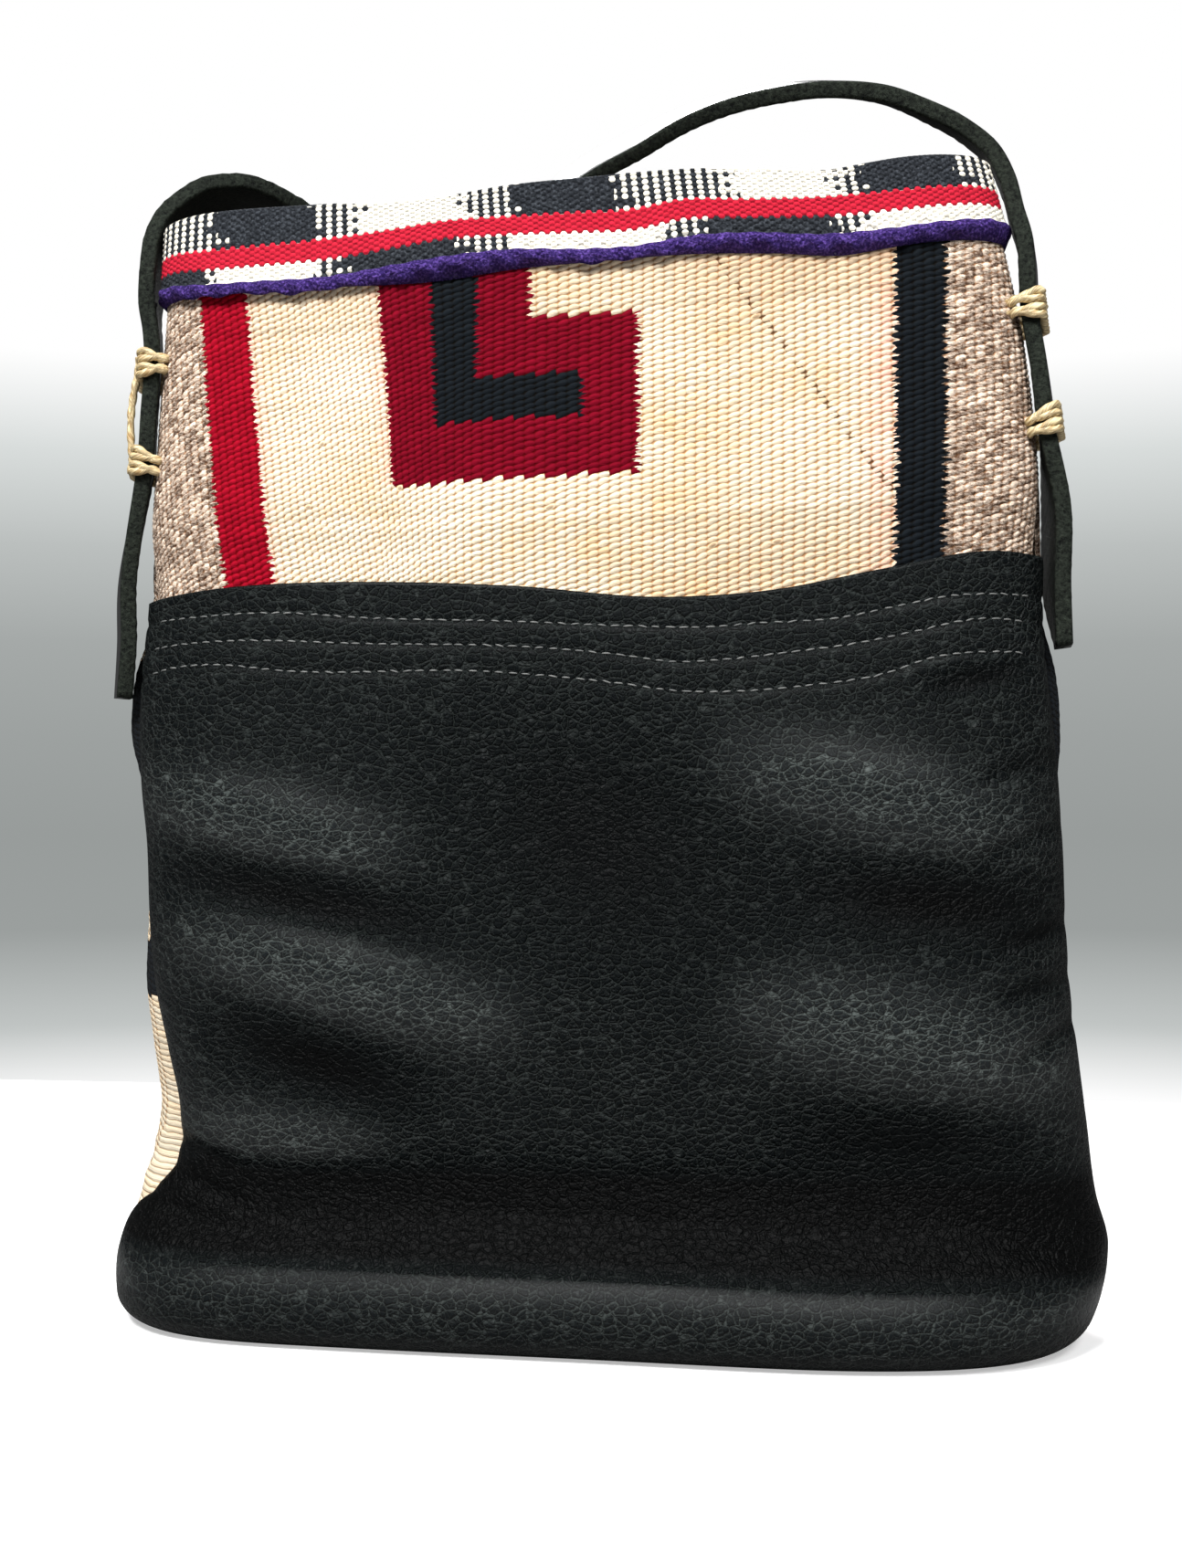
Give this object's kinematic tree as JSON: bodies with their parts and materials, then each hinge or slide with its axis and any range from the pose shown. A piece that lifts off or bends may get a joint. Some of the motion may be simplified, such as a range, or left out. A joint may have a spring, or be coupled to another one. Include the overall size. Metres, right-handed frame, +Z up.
{
  "type": "handbag",
  "caption": "Upright soft handbag with a geometric tapestry weave above black pebbled leather, a woven trim at the mouth and one leather strap tied to its sides.",
  "frame": {"origin": "on the flat bottom, under the middle of the bag, in the plane of its side seams", "axes": "+Z up towards the mouth, -Y towards the leather front, +X to the right as seen from the front"},
  "size_m": [0.284, 0.0928, 0.3577],
  "materials": {
    "front_weave": "weft-faced wool tapestry, cream with red, charcoal and gray-brown fields",
    "back_weave": "weft-faced wool tapestry, cream with charcoal bars",
    "black_leather": "soft pebbled grain, half gloss",
    "woven_trim": "plain weave with striped warp, red and purple lines",
    "strap_leather": "smooth gloss on the grain side, fuzzy flesh side",
    "waxed_cord": "waxed tan thread"
  },
  "bodies": {
    "root": {"front_rug": "front_weave", "back_rug": "back_weave", "front_leather": "black_leather", "mouth_band": "woven_trim", "strap": "strap_leather", "tie_left_upper": "waxed_cord", "tie_left_lower": "waxed_cord", "tie_right_upper": "waxed_cord", "tie_right_lower": "waxed_cord"}
  },
  "joints": []
}
